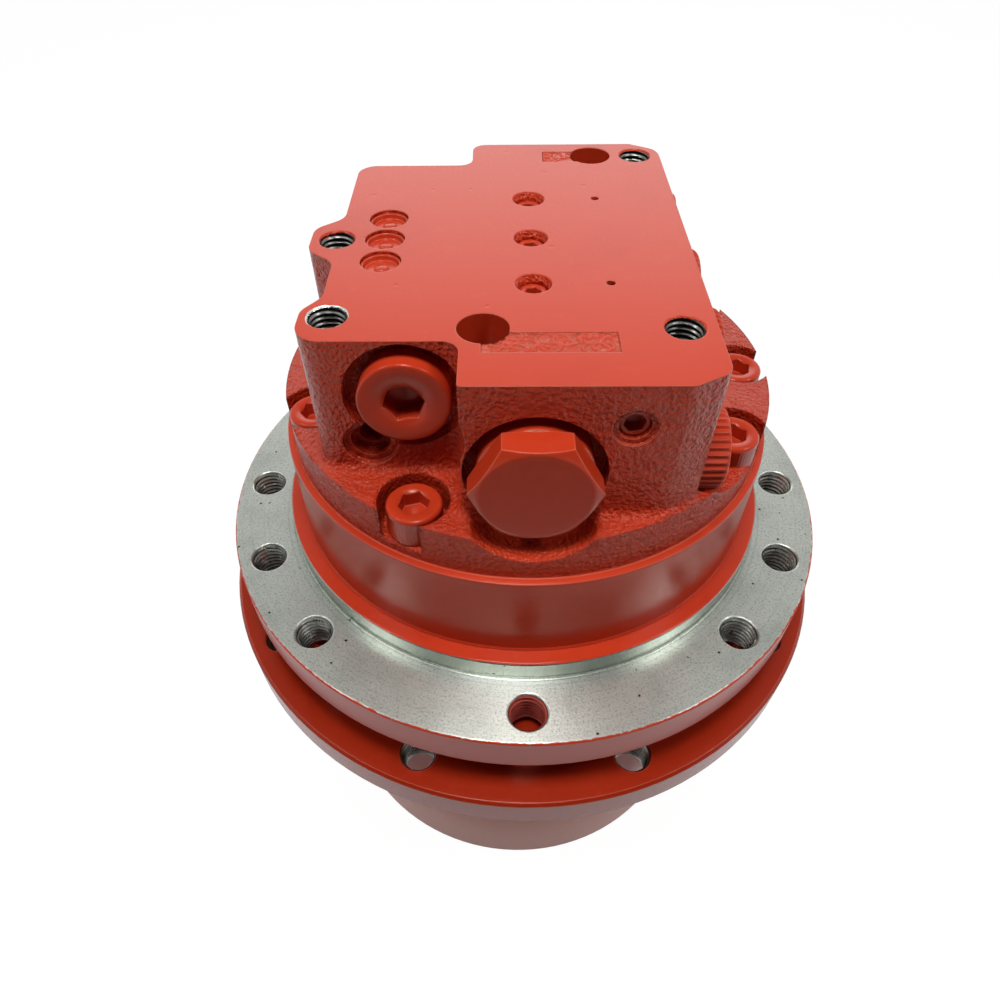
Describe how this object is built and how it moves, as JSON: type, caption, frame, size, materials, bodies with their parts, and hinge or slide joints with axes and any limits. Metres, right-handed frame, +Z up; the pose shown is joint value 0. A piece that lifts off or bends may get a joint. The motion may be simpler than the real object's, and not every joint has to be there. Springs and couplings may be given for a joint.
{
  "type": "excavator final drive",
  "caption": "Hydraulic track drive for a small excavator: axial piston motor with valve block, brake and two-stage planetary gears that turn a flanged hub.",
  "frame": {"origin": "middle of the hub's lower rim, on the turning axis", "axes": "+Z up the turning axis from the hub to the valve block, +X towards the hose ports, +Y away from the hexagon plug seen in front"},
  "size_m": [0.229, 0.229, 0.2536],
  "materials": {
    "red_cast": "satin",
    "red_hub": "satin",
    "machined_steel": "brushed",
    "red_fastener": "satin",
    "red_cap": "satin",
    "brass": "satin",
    "rubber": "matte"
  },
  "bodies": {
    "frame_side": {"valve_block": "red_cast", "motor_body": "red_cast", "carrier_2": "machined_steel", "planet_pins_2": "machined_steel", "swash_plate": "machined_steel", "brake_plates": "machined_steel", "valve_plate": "machined_steel", "main_bearing_inner_races": "machined_steel", "shaft_bearing_outer_ring": "machined_steel", "needle_bearing": "machined_steel", "brake_spring": "machined_steel", "counterbalance_springs": "machined_steel", "face_seal_body_half": "machined_steel", "block_screws": "red_fastener", "main_plug_front": "red_fastener", "main_plug_rear": "red_fastener", "speed_plug_front": "red_fastener", "speed_plug_rear": "red_fastener", "set_screws": "red_fastener", "gauge_plug": "red_fastener", "expander_plugs": "red_fastener", "carrier_2_bolts": "red_fastener", "main_port_caps": "red_cap", "pilot_port_cap": "red_cap", "block_seal_ring": "rubber", "oil_seal": "rubber"},
    "hub_side": {"hub": "red_hub", "ring_gear": "machined_steel", "main_bearing_outer_races": "machined_steel", "gear_cover": "machined_steel", "cover_seal_ring": "rubber", "cover_snap_ring": "machined_steel", "oil_plugs": "red_fastener", "face_seal_hub_half": "machined_steel"},
    "roller_cages": {"main_bearing_rollers": "machined_steel"},
    "first_carrier": {"carrier_1": "machined_steel", "planet_pins_1": "machined_steel", "sun_gear_2": "machined_steel"},
    "planet_1a": {"planet_gear_1a": "machined_steel"},
    "planet_1b": {"planet_gear_1b": "machined_steel"},
    "planet_1c": {"planet_gear_1c": "machined_steel"},
    "planet_2a": {"planet_gear_2a": "machined_steel"},
    "planet_2b": {"planet_gear_2b": "machined_steel"},
    "planet_2c": {"planet_gear_2c": "machined_steel"},
    "motor_shaft": {"sun_gear_1": "machined_steel", "drive_shaft": "machined_steel", "cylinder_block": "machined_steel", "pistons": "machined_steel", "piston_shoes": "brass", "shoe_retainer": "machined_steel", "ball_guide": "machined_steel", "friction_discs": "machined_steel", "shaft_bearing_inner_ring": "machined_steel"},
    "shaft_cage": {"shaft_bearing_rollers": "machined_steel"},
    "main_spool": {"counterbalance_spool": "machined_steel"},
    "speed_spool": {"speed_spool": "machined_steel"},
    "parking_brake": {"brake_piston": "machined_steel"}
  },
  "joints": [
    {"name": "hub_turn", "type": "hinge", "parent": "frame_side", "child": "hub_side", "pos_m": [0, 0, 0.06], "axis": [0, 0, 1], "continuous": true},
    {"name": "cage_turn", "type": "hinge", "parent": "frame_side", "child": "roller_cages", "pos_m": [0, 0, 0.098], "axis": [0, 0, 1], "continuous": true},
    {"name": "carrier_turn", "type": "hinge", "parent": "frame_side", "child": "first_carrier", "pos_m": [0, 0, 0.041], "axis": [0, 0, 1], "continuous": true},
    {"name": "shaft_turn", "type": "hinge", "parent": "frame_side", "child": "motor_shaft", "pos_m": [0, 0, 0.09], "axis": [0, 0, 1], "continuous": true},
    {"name": "shaft_cage_turn", "type": "hinge", "parent": "frame_side", "child": "shaft_cage", "pos_m": [0, 0, 0.098], "axis": [0, 0, 1], "continuous": true},
    {"name": "planet_1a_turn", "type": "hinge", "parent": "first_carrier", "child": "planet_1a", "pos_m": [0.042, 0, 0.028], "axis": [0, 0, 1], "continuous": true},
    {"name": "planet_1b_turn", "type": "hinge", "parent": "first_carrier", "child": "planet_1b", "pos_m": [-0.021, 0.03637, 0.028], "axis": [0, 0, 1], "continuous": true},
    {"name": "planet_1c_turn", "type": "hinge", "parent": "first_carrier", "child": "planet_1c", "pos_m": [-0.021, -0.03637, 0.028], "axis": [0, 0, 1], "continuous": true},
    {"name": "planet_2a_turn", "type": "hinge", "parent": "frame_side", "child": "planet_2a", "pos_m": [0.0225, 0.03897, 0.056], "axis": [0, 0, 1], "continuous": true},
    {"name": "planet_2b_turn", "type": "hinge", "parent": "frame_side", "child": "planet_2b", "pos_m": [-0.045, 0, 0.056], "axis": [0, 0, 1], "continuous": true},
    {"name": "planet_2c_turn", "type": "hinge", "parent": "frame_side", "child": "planet_2c", "pos_m": [0.0225, -0.03897, 0.056], "axis": [0, 0, 1], "continuous": true},
    {"name": "counterbalance_slide", "type": "slide", "parent": "frame_side", "child": "main_spool", "axis": [0, 1, 0], "range_m": [-0.003, 0.003]},
    {"name": "speed_valve_slide", "type": "slide", "parent": "frame_side", "child": "speed_spool", "axis": [0, 1, 0], "range_m": [-0.0025, 0.0025]},
    {"name": "brake_lift", "type": "slide", "parent": "frame_side", "child": "parking_brake", "axis": [0, 0, 1], "range_m": [0, 0.001], "stiffness_N_per_m": 5000}
  ],
  "couplings": [
    {"joint": "cage_turn", "follows": "hub_turn", "ratio": 0.53},
    {"joint": "carrier_turn", "follows": "hub_turn", "ratio": -4},
    {"joint": "shaft_turn", "follows": "hub_turn", "ratio": -34},
    {"joint": "shaft_cage_turn", "follows": "hub_turn", "ratio": -15.15},
    {"joint": "planet_1a_turn", "follows": "hub_turn", "ratio": 12},
    {"joint": "planet_1b_turn", "follows": "hub_turn", "ratio": 12},
    {"joint": "planet_1c_turn", "follows": "hub_turn", "ratio": 12},
    {"joint": "planet_2a_turn", "follows": "hub_turn", "ratio": 2.6667},
    {"joint": "planet_2b_turn", "follows": "hub_turn", "ratio": 2.6667},
    {"joint": "planet_2c_turn", "follows": "hub_turn", "ratio": 2.6667}
  ]
}
